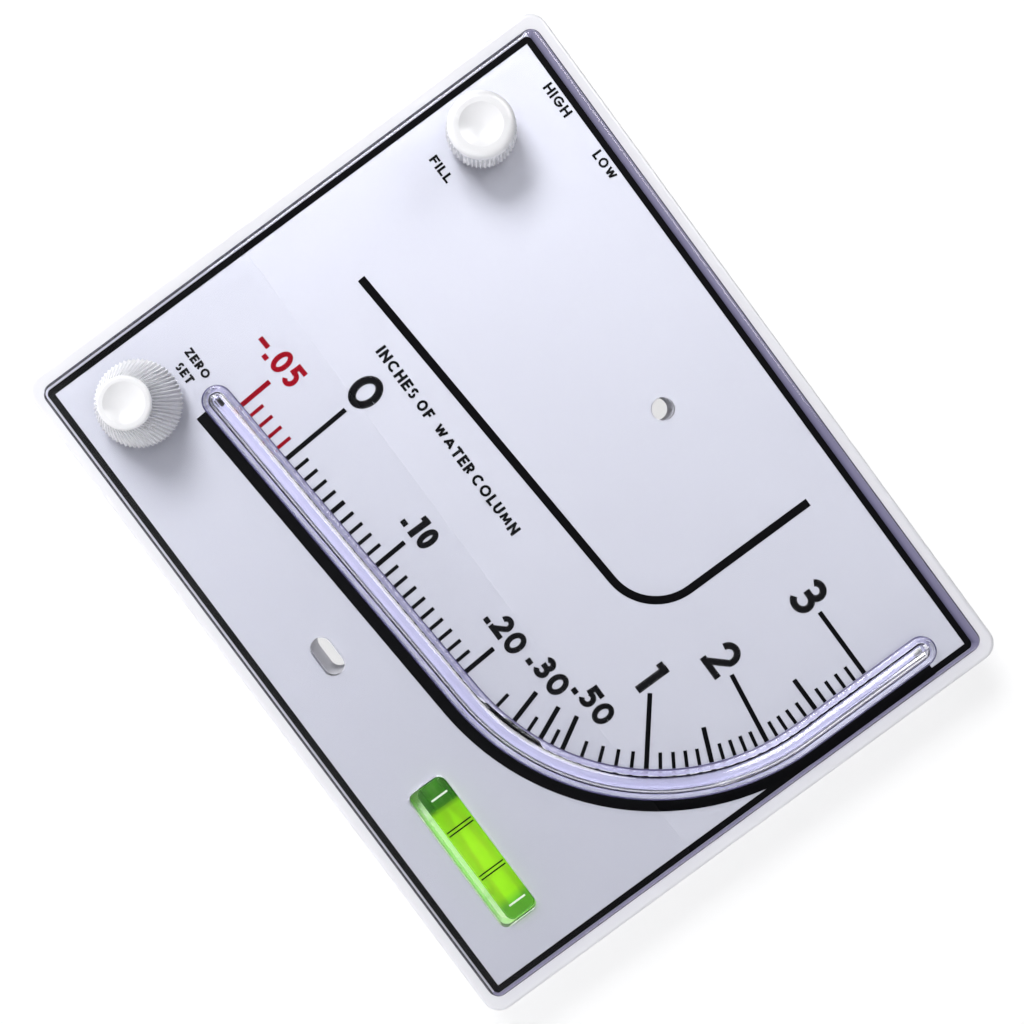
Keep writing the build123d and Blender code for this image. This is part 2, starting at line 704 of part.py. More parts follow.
with BuildPart() as well_gasket:
    with BuildSketch(front(floor_t + well_lid_t)):
        with Locations((well_x, well_z)):
            RectangleRounded(well_w, well_h, well_wall)
            Rectangle(well_w - 2 * well_wall, well_h - 2 * well_wall, mode=Mode.SUBTRACT)
    extrude(amount=well_gasket_t)
well_gasket.part.label = "well_gasket"

with BuildPart() as well_lid:
    with BuildSketch(front(floor_t)):
        with Locations((well_x, well_z)):
            RectangleRounded(well_w, well_h, well_wall)
    extrude(amount=well_lid_t)
well_lid.part.label = "well_lid"

# Pressure manifold: block behind the two ports, with a float trap in each line
manifold_right = low_x + port_body_r + wall_t
manifold_left = high_x - port_body_r - wall_t
step_x = fill_x + block_side / 2 + 4 * seat_gap
step_z = inner_top_z - manifold_top_h
trap_top_z = step_z + wall_t
trap_bottom_z = trap_top_z - trap_l
cross_r = 1.2             # passage from the high port across to its trap
cross_z = trap_top_z - tube_id / 2 - wall_t / 4
with BuildPart() as pressure_manifold:
    with BuildSketch(front(floor_t)):
        with BuildLine():
            Polyline(
                (manifold_left, inner_top_z), (manifold_right, inner_top_z),
                (manifold_right, manifold_bottom_z), (step_x, manifold_bottom_z),
                (step_x, step_z), (manifold_left, step_z), close=True,
            )
        make_face()
    extrude(amount=case_depth - flange_t - floor_t)
    with BuildSketch(Plane.XY.offset(inner_top_z)):
        with Locations((high_x, -passage_h), (low_x, -passage_h)):
            Circle(port_body_r + seat_gap)
    extrude(amount=wall_t - port_body_l, mode=Mode.SUBTRACT)
    with BuildSketch(Plane.XY.offset(trap_top_z)):
        with Locations((high_trap_x, -passage_h), (low_x, -passage_h)):
            Circle(trap_r)
    extrude(amount=-trap_l, mode=Mode.SUBTRACT)
    with BuildSketch(Plane.XY.offset(trap_bottom_z)):
        with Locations((high_trap_x, -passage_h), (low_x, -passage_h)):
            Circle(tube_id / 2)
    extrude(amount=manifold_bottom_z - trap_bottom_z, mode=Mode.SUBTRACT)
    with BuildSketch(Plane.YZ.offset(high_x)):
        with Locations((-passage_h, cross_z)):
            Circle(cross_r)
    extrude(amount=high_trap_x - high_x, mode=Mode.SUBTRACT)
    with BuildSketch(Plane.XY.offset(cross_z - tube_id / 2)):
        with Locations((high_x, -passage_h), (low_x, -passage_h)):
            Circle(tube_id / 2)
    extrude(amount=inner_top_z - cross_z, mode=Mode.SUBTRACT)
    with BuildSketch(Plane.XY.offset(manifold_bottom_z)):
        with Locations((high_trap_x, -passage_h), (low_x, -passage_h)):
            Circle(tube_od / 2 + seat_gap)
    extrude(amount=tube_socket, mode=Mode.SUBTRACT)
pressure_manifold.part.label = "pressure_manifold"

# Trap floats: each ball rests on the mouth below it and lifts when liquid rises
float_parts = {}
for float_name, float_x in (("high_trap_float", high_trap_x), ("low_trap_float", low_x)):
    with BuildPart() as trap_float:
        ball_seat = (float_r ** 2 - (tube_id / 2 - running_gap) ** 2) ** 0.5
        with Locations((float_x, -passage_h, trap_bottom_z + ball_seat)):
            Sphere(float_r)
    trap_float.part.label = float_name
    float_parts[float_name] = trap_float.part

# Port fittings: brass sockets with a tapped hole, each with a collar on the tub's top wall
fitting_parts = {}
for fitting_name, fitting_x in (("high_port_fitting", high_x), ("low_port_fitting", low_x)):
    with BuildPart() as port_fitting:
        with BuildSketch(Plane.XY.offset(tub_h / 2 + port_collar_t)):
            with Locations((fitting_x, -passage_h)):
                Circle(port_body_r)
        extrude(amount=-port_body_l - port_collar_t + running_gap)
        with BuildSketch(Plane.XY.offset(tub_h / 2)):
            with Locations((fitting_x, -passage_h)):
                Circle(port_collar_r)
        extrude(amount=port_collar_t)
        with BuildSketch(Plane.XY.offset(tub_h / 2 + port_collar_t)):
            with Locations((fitting_x, -passage_h)):
                Circle(port_tap_r)
        extrude(amount=-port_tap_l, mode=Mode.SUBTRACT)
        with BuildSketch(Plane.XY.offset(tub_h / 2 - port_body_l)):
            with Locations((fitting_x, -passage_h)):
                Circle(tube_id / 2)
        extrude(amount=port_body_l, mode=Mode.SUBTRACT)
    port_fitting.part.label = fitting_name
    fitting_parts[fitting_name] = port_fitting.part


def straight_tube(x, low, high):
    """Upright plastic tube between two heights on the wall, in the open part."""
    with BuildSketch(Plane.XY.offset(low)) as section:
        with Locations((x, -passage_h)):
            Circle(tube_od / 2)
            Circle(tube_id / 2, mode=Mode.SUBTRACT)
    extrude(section.sketch, amount=high - low)


# Tubes: the fill tube and the air tube drop into the top of the well
with BuildPart() as fill_tube:
    straight_tube(fill_x, well_top_z - well_wall, fill_z - block_side / 2 + neck_socket)
fill_tube.part.label = "fill_tube"

with BuildPart() as well_air_tube:
    straight_tube(air_tube_x, well_top_z - well_wall, manifold_bottom_z + tube_socket)
well_air_tube.part.label = "well_air_tube"

# Low pressure tube: crosses the case below the screw boss and rises to the top end of the bore
outlet_bottom_z = tube_top_z - block_side / 2
low_bend_r = 6.0
low_tube_x = tube_leg_x - port_w / 2
with BuildPart() as low_pressure_tube:
    with BuildLine(front(passage_h)) as low_path:
        FilletPolyline(
            (low_x, manifold_bottom_z + tube_socket), (low_x, low_tube_run_z),
            (low_tube_x, low_tube_run_z), (low_tube_x, outlet_bottom_z + tube_socket / 2),
            radius=low_bend_r,
        )
    with BuildSketch(Plane((low_x, -passage_h, manifold_bottom_z + tube_socket), z_dir=(0, 0, -1))):
        Circle(tube_od / 2)
        Circle(tube_id / 2, mode=Mode.SUBTRACT)
    sweep(path=low_path.wire())
low_pressure_tube.part.label = "low_pressure_tube"

outlet_right = tub_w / 2 - wall_t
outlet_left = tube_leg_x - block_side / 2
outlet_top_z = tube_top_z + tube_od / 2
with BuildPart() as tube_outlet_block:
    with BuildSketch(front(floor_t)):
        with Locations((outlet_right, outlet_top_z)):
            Rectangle(
                outlet_right - outlet_left, outlet_top_z - outlet_bottom_z, align=(Align.MAX, Align.MAX)
            )
    extrude(amount=plate_back_h - floor_t)
    with BuildSketch(front(passage_h)):
        with Locations(port_places()[1]):
            Rectangle(port_l, port_w)
    extrude(amount=case_depth, mode=Mode.SUBTRACT)
    with BuildSketch(Plane.XY.offset(outlet_bottom_z)):
        with Locations((low_tube_x, -passage_h)):
            Circle(tube_id / 2)
    extrude(amount=tube_top_z - outlet_bottom_z, mode=Mode.SUBTRACT)
    with BuildSketch(Plane.XY.offset(outlet_bottom_z)):
        with Locations((low_tube_x, -passage_h)):
            Circle(tube_od / 2 + seat_gap)
    extrude(amount=tube_socket / 2, mode=Mode.SUBTRACT)
tube_outlet_block.part.label = "tube_outlet_block"

os.makedirs("parts", exist_ok=True)
pieces = [
    rear_housing.part, front_cover.part, tube_backing.part, scale_plate.part,
    scale_print_black.part, scale_print_red.part,
    level_vial.part, vial_plug.part, vial_liquid.part, vial_marks.part,
    zero_set_knob.part, zero_set_screw.part, zero_set_bushing.part,
    zero_set_plunger.part, plunger_o_ring.part,
    fill_plug.part, fill_plug_washer.part, fill_bushing.part, fill_neck.part, fill_tube.part,
    well_body.part, well_gasket.part, well_lid.part, well_air_tube.part,
    pressure_manifold.part, low_pressure_tube.part, tube_outlet_block.part,
    *fitting_parts.values(), *float_parts.values(),
]
for piece in pieces:
    export_step(piece, f"parts/{piece.label}.step")
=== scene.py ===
from math import cos, pi, radians, sin

import bpy
from mathutils import Matrix, Vector


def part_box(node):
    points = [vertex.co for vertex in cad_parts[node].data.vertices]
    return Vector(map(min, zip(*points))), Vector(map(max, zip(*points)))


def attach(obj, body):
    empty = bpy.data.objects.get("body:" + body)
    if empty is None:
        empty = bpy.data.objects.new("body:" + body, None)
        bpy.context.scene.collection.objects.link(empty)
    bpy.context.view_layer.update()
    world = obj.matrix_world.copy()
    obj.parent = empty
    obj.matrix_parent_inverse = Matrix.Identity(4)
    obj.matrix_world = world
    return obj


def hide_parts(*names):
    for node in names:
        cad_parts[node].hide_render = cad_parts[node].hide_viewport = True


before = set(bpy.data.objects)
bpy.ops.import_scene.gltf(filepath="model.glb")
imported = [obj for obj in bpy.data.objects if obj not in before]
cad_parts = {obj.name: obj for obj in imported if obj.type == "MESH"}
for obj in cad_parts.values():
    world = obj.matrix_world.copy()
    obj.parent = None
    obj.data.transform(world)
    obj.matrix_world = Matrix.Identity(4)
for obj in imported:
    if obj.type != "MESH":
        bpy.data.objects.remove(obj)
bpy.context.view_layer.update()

# Camera: stands in front of the case's face, a little left of its middle, and is rolled so
# that the top of the case points to the upper right of the picture.
camera = bpy.data.objects.new("camera", bpy.data.cameras.new("camera"))
bpy.context.collection.objects.link(camera)
camera.data.sensor_width = 36
camera.data.lens = 71.68
camera.data.clip_start = 0.01
camera_right = Vector((0.5938, -0.01178, 0.80453))
camera_down = Vector((0.80333, -0.04763, -0.59362))
camera_ahead = Vector((0.04531, 0.9988, -0.01882))
camera_place = Vector((-0.02425, -0.5195, 0.00983))
camera.matrix_world = Matrix.Translation(camera_place) @ Matrix(
    (camera_right, -camera_down, -camera_ahead)
).transposed().to_4x4()
bpy.context.scene.camera = camera
bpy.context.scene.view_settings.view_transform = "Standard"


# Light: a window light from the case's left, a soft one that grazes the face from its right,
# and one behind for the back. A skylight above shows only in reflections. The room is a dim
# grey, lightest straight ahead of the wall, and white where the camera sees it directly.
def lamp(name, place, target, size, power, only_gloss=False):
    """A square area lamp that faces its target."""
    data = bpy.data.lights.new(name, "AREA")
    data.shape = "SQUARE"
    data.size = size
    data.energy = power
    light = bpy.data.objects.new(name, data)
    bpy.context.collection.objects.link(light)
    light.location = place
    aim = Vector(target) - Vector(place)
    light.rotation_euler = aim.to_track_quat("-Z", "Y").to_euler()
    light.visible_diffuse = not only_gloss
    light.visible_transmission = not only_gloss


lamp("window_light", (-0.86, -1.09, 0.14), (0, 0, 0), 0.5, 13.2)
lamp("side_light", (1.15, -0.42, -0.05), (0, 0, 0), 0.9, 3.8)
lamp("skylight", (-0.2, -0.58, 0.82), (0, 0, 0), 0.62, 10.0, only_gloss=True)
lamp("back_light", (0.5, 1.4, 0.8), (0, 0, 0), 1.0, 14.0)


def add_node(material, kind, links=None, **settings):
    """Adds a node to a material's tree, with its settings, and links sockets into it."""
    tree = material.node_tree
    made = tree.nodes.new(kind)
    for key, value in settings.items():
        if hasattr(made, key):
            setattr(made, key, value)
        else:
            made.inputs[key.replace("_", " ")].default_value = value
    for key, source in (links or {}).items():
        socket = made.inputs[key] if isinstance(key, int) else made.inputs[key.replace("_", " ")]
        tree.links.new(source, socket)
    return made


def finish(name):
    """A new material with an empty tree."""
    material = bpy.data.materials.new(name)
    material.use_nodes = True
    material.node_tree.nodes.clear()
    return material


def colour(code):
    """A linear colour from its sRGB hex value."""
    parts = [int(code[i:i + 2], 16) / 255 for i in (0, 2, 4)]
    linear = [p / 12.92 if p <= 0.04045 else ((p + 0.055) / 1.055) ** 2.4 for p in parts]
    return (*linear, 1.0)


room = bpy.data.worlds.new("room")
bpy.context.scene.world = room
room.use_nodes = True
room.node_tree.nodes.clear()
seen = add_node(room, "ShaderNodeLightPath")
toward = add_node(room, "ShaderNodeTexCoord").outputs["Generated"]
turned = add_node(room, "ShaderNodeSeparateXYZ", {"Vector": toward})
behind = add_node(room, "ShaderNodeMath", {0: turned.outputs["Y"]}, operation="GREATER_THAN")
behind.inputs[1].default_value = 0.0
mirrored = add_node(
    room, "ShaderNodeMath",
    {0: seen.outputs["Is Glossy Ray"], 1: behind.outputs[0]}, operation="MULTIPLY",
)
straight = add_node(
    room, "ShaderNodeMath",
    {0: seen.outputs["Is Camera Ray"], 1: seen.outputs["Is Transmission Ray"]},
    operation="MAXIMUM",
)
direct = add_node(
    room, "ShaderNodeMath", {0: straight.outputs[0], 1: mirrored.outputs[0]}, operation="MAXIMUM"
)
from_wall = add_node(room, "ShaderNodeMath", {0: turned.outputs["Y"]}, operation="ABSOLUTE")
dusk = add_node(
    room, "ShaderNodeMapRange", {"Value": from_wall.outputs[0]}, From_Min=0.1, From_Max=0.75,
    To_Min=0.03, To_Max=0.13,
)
cloth = add_node(
    room, "ShaderNodeMapRange", {"Value": seen.outputs["Is Glossy Ray"]}, To_Min=1.0, To_Max=0.35
)
dim = add_node(
    room, "ShaderNodeMath", {0: dusk.outputs[0], 1: cloth.outputs[0]}, operation="MULTIPLY"
)
grey_air = add_node(
    room, "ShaderNodeBackground", {"Strength": dim.outputs[0]}, Color=colour("DCDCEC")
)
white_air = add_node(room, "ShaderNodeBackground", Color=(1, 1, 1, 1), Strength=1.0)
air = add_node(
    room, "ShaderNodeMixShader",
    {0: direct.outputs[0], 1: grey_air.outputs[0], 2: white_air.outputs[0]},
)
add_node(room, "ShaderNodeOutputWorld", {"Surface": air.outputs[0]})

# Wall and floor: matt white boards, lifted to white for the camera. The wall is behind the
# case, the floor well below it, and both are open from behind so that the back can be seen.
wall_size, wall_behind, floor_size, floor_level = 4, 0.0006, 12, -0.3
white_board = finish("matt_white_board")
paths = add_node(white_board, "ShaderNodeLightPath")
side = add_node(white_board, "ShaderNodeNewGeometry")
board = add_node(white_board, "ShaderNodeBsdfDiffuse", Color=(0.96, 0.96, 0.97, 1))
pale = add_node(white_board, "ShaderNodeBsdfDiffuse", Color=(0.4, 0.4, 0.4, 1))
lift = add_node(white_board, "ShaderNodeEmission", Color=(1, 1, 1, 1), Strength=0.7)
lit_board = add_node(white_board, "ShaderNodeAddShader", {0: pale.outputs[0], 1: lift.outputs[0]})
to_camera = add_node(
    white_board, "ShaderNodeMixShader",
    {0: paths.outputs["Is Camera Ray"], 1: board.outputs[0], 2: lit_board.outputs[0]},
)
unseen = add_node(white_board, "ShaderNodeBsdfTransparent")
hidden = add_node(
    white_board, "ShaderNodeMath",
    {0: side.outputs["Backfacing"], 1: paths.outputs["Is Shadow Ray"]}, operation="MAXIMUM",
)
one_sided = add_node(
    white_board, "ShaderNodeMixShader",
    {0: hidden.outputs[0], 1: to_camera.outputs[0], 2: unseen.outputs[0]},
)
add_node(white_board, "ShaderNodeOutputMaterial", {"Surface": one_sided.outputs[0]})

bpy.ops.object.select_all(action="DESELECT")
bpy.ops.mesh.primitive_plane_add(
    size=wall_size, location=(0, wall_behind, 0), rotation=(pi / 2, 0, 0)
)
wall_board = bpy.context.object
wall_board.name = "wall_board"
bpy.ops.mesh.primitive_plane_add(size=floor_size, location=(0, 0, floor_level))
floor_board = bpy.context.object
floor_board.name = "floor_board"
for board_piece in (wall_board, floor_board):
    board_piece.data.materials.append(white_board)


def dress(node, material):
    """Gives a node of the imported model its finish."""
    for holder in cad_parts[node].material_slots:
        holder.material = material


def keep_flats(mesh):
    """Leaves broad flat faces unsmoothed, so that their rounded edges don't shade them."""
    broad, square_on = 20e-6, 0.99999   # square metres, and the least part along an axis
    area = {}
    planes = {}
    for face in mesh.polygons:
        axis = max(range(3), key=lambda i: abs(face.normal[i]))
        if abs(face.normal[axis]) > square_on:
            plane = (axis, face.normal[axis] > 0, round(face.center[axis], 5))
            planes[face.index] = plane
            area[plane] = area.get(plane, 0) + face.area
    for index, plane in planes.items():
        if area[plane] > broad:
            mesh.polygons[index].use_smooth = False


def pick(piece):
    """Makes one object the only one selected, and the active one."""
    bpy.ops.object.select_all(action="DESELECT")
    piece.select_set(True)
    bpy.context.view_layer.objects.active = piece


def smooth_copy(node, material, body, angle=35):
    """A copy of a node's mesh with its triangles merged and its curved faces smooth."""
    weld = 0.000002
    piece = bpy.data.objects.new(f"{node}_shell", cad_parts[node].data.copy())
    bpy.context.collection.objects.link(piece)
    pick(piece)
    bpy.ops.object.mode_set(mode="EDIT")
    bpy.ops.mesh.select_all(action="SELECT")
    bpy.ops.mesh.remove_doubles(threshold=weld)
    bpy.ops.object.mode_set(mode="OBJECT")
    bpy.ops.object.shade_smooth_by_angle(angle=radians(angle))
    keep_flats(piece.data)
    piece.data.materials.clear()
    piece.data.materials.append(material)
    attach(piece, body)
    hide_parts(node)
    return piece


# Rear housing: one injection moulding in white ABS. The tool's fine spark finish gives the
# sides and back a silky grain, and the flange is polished.
COLOUR_A, COLOUR_B, COLOUR_OUT = 6, 7, 2    # sockets of a Mix node that mixes colours
white_abs = finish("moulded_white_abs")
place = add_node(white_abs, "ShaderNodeTexCoord").outputs["Object"]
spark = add_node(white_abs, "ShaderNodeTexNoise", {"Vector": place}, Scale=2600.0, Detail=2.0)
spark_bump = add_node(
    white_abs, "ShaderNodeBump", {"Height": spark.outputs["Fac"]}, Strength=0.12, Distance=0.00003
)
flow = add_node(white_abs, "ShaderNodeTexNoise", {"Vector": place}, Scale=22.0, Detail=3.0)
flow_tint = add_node(white_abs, "ShaderNodeMix", {"Factor": flow.outputs["Fac"]}, data_type="RGBA")
flow_tint.inputs[COLOUR_A].default_value = colour("F0F0F5")
flow_tint.inputs[COLOUR_B].default_value = colour("F6F6F9")
gloss_range = add_node(
    white_abs, "ShaderNodeMapRange", {"Value": flow.outputs["Fac"]}, To_Min=0.26, To_Max=0.36
)
abs_skin = add_node(
    white_abs, "ShaderNodeBsdfPrincipled",
    {
        "Base_Color": flow_tint.outputs[COLOUR_OUT], "Roughness": gloss_range.outputs[0],
        "Normal": spark_bump.outputs[0],
    },
    IOR=1.53,
)
add_node(white_abs, "ShaderNodeOutputMaterial", {"Surface": abs_skin.outputs[0]})
smooth_copy("rear_housing", white_abs, "case")

# Front cover: clear acrylic, moulded with its raised bead and polished all over. It bends
# what is behind the bead, lets the light through to the plate, and is faintly violet in depth.
clear_acrylic = finish("polished_clear_acrylic")
rays = add_node(clear_acrylic, "ShaderNodeLightPath")
lit_through = add_node(
    clear_acrylic, "ShaderNodeMath",
    {0: rays.outputs["Is Shadow Ray"], 1: rays.outputs["Is Diffuse Ray"]}, operation="MAXIMUM",
)
acrylic = add_node(
    clear_acrylic, "ShaderNodeBsdfPrincipled", Base_Color=colour("FDFDFE"), Roughness=0.0, IOR=1.49,
    Transmission_Weight=1.0,
)
light_way = add_node(clear_acrylic, "ShaderNodeBsdfTransparent", Color=colour("FAFAFC"))
acrylic_mix = add_node(
    clear_acrylic, "ShaderNodeMixShader",
    {0: lit_through.outputs[0], 1: acrylic.outputs[0], 2: light_way.outputs[0]},
)
violet_depth = add_node(
    clear_acrylic, "ShaderNodeVolumeAbsorption", Color=colour("9A94D8"), Density=9.0
)
add_node(
    clear_acrylic, "ShaderNodeOutputMaterial",
    {"Surface": acrylic_mix.outputs[0], "Volume": violet_depth.outputs[0]},
)
cover = smooth_copy("front_cover", clear_acrylic, "case")

# Tube backing: a clear strip cemented into the groove behind the bead. Its cement is faintly
# violet, which the thick bead gathers into a lavender glow along the tube.
violet_acrylic = finish("cemented_violet_acrylic")
place = add_node(violet_acrylic, "ShaderNodeTexCoord").outputs["Object"]
cement = add_node(violet_acrylic, "ShaderNodeTexNoise", {"Vector": place}, Scale=300.0, Detail=2.0)
cement_tint = add_node(
    violet_acrylic, "ShaderNodeMix", {"Factor": cement.outputs["Fac"]}, data_type="RGBA"
)
cement_tint.inputs[COLOUR_A].default_value = colour("E4E3F3")
cement_tint.inputs[COLOUR_B].default_value = colour("E9E8F5")
cement_skin = add_node(
    violet_acrylic, "ShaderNodeBsdfPrincipled", {"Base_Color": cement_tint.outputs[COLOUR_OUT]},
    Roughness=0.08, IOR=1.49, Transmission_Weight=1.0,
)
cement_rays = add_node(violet_acrylic, "ShaderNodeLightPath")
cement_way = add_node(violet_acrylic, "ShaderNodeBsdfTransparent", Color=colour("EEEDF8"))
cement_mix = add_node(
    violet_acrylic, "ShaderNodeMixShader",
    {0: cement_rays.outputs["Is Shadow Ray"], 1: cement_skin.outputs[0], 2: cement_way.outputs[0]},
)
add_node(violet_acrylic, "ShaderNodeOutputMaterial", {"Surface": cement_mix.outputs[0]})
dress("tube_backing", violet_acrylic)

# Bead outline: painted shade. The foot of the bead bends the light away, which the eye sees as a
# thin violet line all round it, so a dark violet line is painted there. A cut through a copy of
# the cover, just above its face, gives the line.
bead_painted_shade = finish("painted_shade_bead_outline")
place = add_node(bead_painted_shade, "ShaderNodeTexCoord").outputs["Object"]
streak = add_node(bead_painted_shade, "ShaderNodeTexNoise", {"Vector": place}, Scale=350.0, Detail=2.0)
bead_shade_tint = add_node(
    bead_painted_shade, "ShaderNodeMix", {"Factor": streak.outputs["Fac"]}, data_type="RGBA"
)
# Painted shade: dark violet, mottled at random.
bead_shade_tint.inputs[COLOUR_A].default_value = colour("3E3A66")
bead_shade_tint.inputs[COLOUR_B].default_value = colour("56527E")
bead_shade_skin = add_node(
    bead_painted_shade, "ShaderNodeBsdfPrincipled", {"Base_Color": bead_shade_tint.outputs[COLOUR_OUT]},
    Roughness=0.3, IOR=1.49,
)
add_node(bead_painted_shade, "ShaderNodeOutputMaterial", {"Surface": bead_shade_skin.outputs[0]})

crease_level, crease_r, crease_weld = 0.02206, 0.00032, 0.00002
foot_right, foot_slack = 0.08925, 0.0005    # the bead's loop is known by its right end
bead_shade_line = bpy.data.objects.new("bead_outline_painted_shade", cover.data.copy())
bpy.context.collection.objects.link(bead_shade_line)
pick(bead_shade_line)
bpy.ops.object.mode_set(mode="EDIT")
bpy.ops.mesh.select_all(action="SELECT")
bpy.ops.mesh.bisect(
    plane_co=(0, -crease_level, 0), plane_no=(0, -1, 0), clear_inner=True, clear_outer=True
)
bpy.ops.mesh.select_all(action="SELECT")
bpy.ops.mesh.remove_doubles(threshold=crease_weld)
bpy.ops.object.mode_set(mode="OBJECT")
bpy.ops.object.convert(target="CURVE")
bead_shade_line = bpy.context.object
for line in list(bead_shade_line.data.splines):
    if abs(max(point.co.x for point in line.points) - foot_right) > foot_slack:
        bead_shade_line.data.splines.remove(line)
shade_ribbon = bpy.data.objects.new("bead_shade_ribbon", bead_shade_line.data.copy())
bpy.context.collection.objects.link(shade_ribbon)
bead_shade_line.data.bevel_depth = crease_r
bead_shade_line.data.bevel_resolution = 2
bead_shade_line.data.use_fill_caps = True
bpy.ops.object.convert(target="MESH")
bead_shade_line = bpy.context.object
bead_shade_line.data.materials.clear()
bead_shade_line.data.materials.append(bead_painted_shade)
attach(bead_shade_line, "case")

# Bead ribbon: painted shade. A pale lavender ribbon lies flat under the sides of the bead and
# stands for the lavender shade that the bead's sides show where they bend the light.
bead_ribbon_painted_shade = finish("pale_lavender_painted_shade")
place = add_node(bead_ribbon_painted_shade, "ShaderNodeTexCoord").outputs["Object"]
ribbon_mottle = add_node(bead_ribbon_painted_shade, "ShaderNodeTexNoise", {"Vector": place}, Scale=260.0, Detail=2.0)
ribbon_tint = add_node(
    bead_ribbon_painted_shade, "ShaderNodeMix", {"Factor": ribbon_mottle.outputs["Fac"]}, data_type="RGBA"
)
# Painted shade: pale lavender, mottled at random.
ribbon_tint.inputs[COLOUR_A].default_value = colour("B9B7DC")
ribbon_tint.inputs[COLOUR_B].default_value = colour("C6C4E6")
ribbon_skin = add_node(
    bead_ribbon_painted_shade, "ShaderNodeBsdfPrincipled", {"Base_Color": ribbon_tint.outputs[COLOUR_OUT]},
    Roughness=0.35, IOR=1.5,
)
add_node(bead_ribbon_painted_shade, "ShaderNodeOutputMaterial", {"Surface": ribbon_skin.outputs[0]})
ribbon_level, ribbon_w, ribbon_t = 0.01901, 0.0013, 0.00004
pick(shade_ribbon)
bpy.ops.object.convert(target="MESH")
shade_ribbon = bpy.context.object
for point in shade_ribbon.data.vertices:
    point.co.y = -ribbon_level
bpy.ops.object.mode_set(mode="EDIT")
bpy.ops.mesh.select_all(action="SELECT")
bpy.ops.mesh.edge_face_add()
bpy.ops.mesh.inset(thickness=ribbon_w)
bpy.ops.mesh.delete(type="ONLY_FACE")
bpy.ops.mesh.select_all(action="SELECT")
bpy.ops.mesh.normals_make_consistent(inside=False)
bpy.ops.object.mode_set(mode="OBJECT")
bpy.ops.object.modifier_add(type="SOLIDIFY")
shade_ribbon.modifiers["Solidify"].thickness = ribbon_t
shade_ribbon.modifiers["Solidify"].offset = 0.0
bpy.ops.object.modifier_apply(modifier="Solidify")
shade_ribbon.data.materials.clear()
shade_ribbon.data.materials.append(bead_ribbon_painted_shade)
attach(shade_ribbon, "case")

# Cover rim shade: a thin violet sheet under the margin of the cover, reaching a little past it,
# carries painted shade. It is darkest at its rim, and dark all across along the right and the
# top, which face away from the light, while along the left and the bottom it is pale inside.
rim_painted_shade = finish("violet_painted_rim_shade")
place = add_node(rim_painted_shade, "ShaderNodeTexCoord").outputs["Object"]
rim_shade_spot = add_node(rim_painted_shade, "ShaderNodeSeparateXYZ", {"Vector": place})
half_cover_w, half_cover_h = 0.0934, 0.0745
shaded_right, shaded_top = 0.0915, 0.0722     # beyond these the bed is deep
inner_edge, outer_edge = -0.002, 0.0006   # of the bed, from the cover's rim
far_x, far_z = (
    add_node(rim_painted_shade, "ShaderNodeMath", {0: rim_shade_spot.outputs[axis]}, operation="ABSOLUTE")
    for axis in ("X", "Z")
)
past_edge = []
for x, z, edge_x, edge_z in (
    (far_x.outputs[0], far_z.outputs[0], half_cover_w, half_cover_h),
    (rim_shade_spot.outputs["X"], rim_shade_spot.outputs["Z"], shaded_right, shaded_top),
):
    past_x = add_node(rim_painted_shade, "ShaderNodeMath", {0: x}, operation="SUBTRACT")
    past_x.inputs[1].default_value = edge_x
    past_z = add_node(rim_painted_shade, "ShaderNodeMath", {0: z}, operation="SUBTRACT")
    past_z.inputs[1].default_value = edge_z
    past_edge.append(add_node(
        rim_painted_shade, "ShaderNodeMath", {0: past_x.outputs[0], 1: past_z.outputs[0]},
        operation="MAXIMUM",
    ))
beyond, shaded_side = past_edge
spread = add_node(
    rim_painted_shade, "ShaderNodeMapRange", {"Value": beyond.outputs[0]},
    From_Min=inner_edge, From_Max=outer_edge,
)
on_shaded_side = add_node(
    rim_painted_shade, "ShaderNodeMath", {0: shaded_side.outputs[0]}, operation="GREATER_THAN"
)
on_shaded_side.inputs[1].default_value = 0.0


def set_stops(ramp, stops):
    """Sets a ramp's colours, from pairs of a place along it and an sRGB hex value."""
    steps = ramp.color_ramp.elements
    while len(steps) < len(stops):
        steps.new(0.5)
    for step, (at, code) in zip(steps, stops):
        step.position = at
        step.color = colour(code)


# Painted shade colours: one ramp for the right and top, one for the rest, both darkest at the rim.
shaded_side_tint = add_node(rim_painted_shade, "ShaderNodeValToRGB", {"Fac": spread.outputs[0]})
set_stops(shaded_side_tint, [
    (0.0, "4A4764"), (0.3, "7A7794"), (0.62, "8E8AA6"), (0.8, "46425E"), (1.0, "302C44"),
])
lit_side_tint = add_node(rim_painted_shade, "ShaderNodeValToRGB", {"Fac": spread.outputs[0]})
set_stops(lit_side_tint, [
    (0.0, "D8D8EA"), (0.62, "E4E4F2"), (0.78, "8A88A2"), (0.86, "45425C"), (1.0, "3A3650"),
])
mottle = add_node(rim_painted_shade, "ShaderNodeTexNoise", {"Vector": place}, Scale=700.0, Detail=2.0)
rim_shade_bump = add_node(
    rim_painted_shade, "ShaderNodeBump", {"Height": mottle.outputs["Fac"]}, Strength=0.1, Distance=0.00002
)
rim_shade_tint = add_node(
    rim_painted_shade, "ShaderNodeMix",
    {
        "Factor": on_shaded_side.outputs[0], COLOUR_A: lit_side_tint.outputs["Color"],
        COLOUR_B: shaded_side_tint.outputs["Color"],
    },
    data_type="RGBA",
)
rim_shade_skin = add_node(
    rim_painted_shade, "ShaderNodeBsdfPrincipled",
    {"Base_Color": rim_shade_tint.outputs[COLOUR_OUT], "Normal": rim_shade_bump.outputs[0]},
    Roughness=0.4, IOR=1.5,
)
add_node(rim_painted_shade, "ShaderNodeOutputMaterial", {"Surface": rim_shade_skin.outputs[0]})

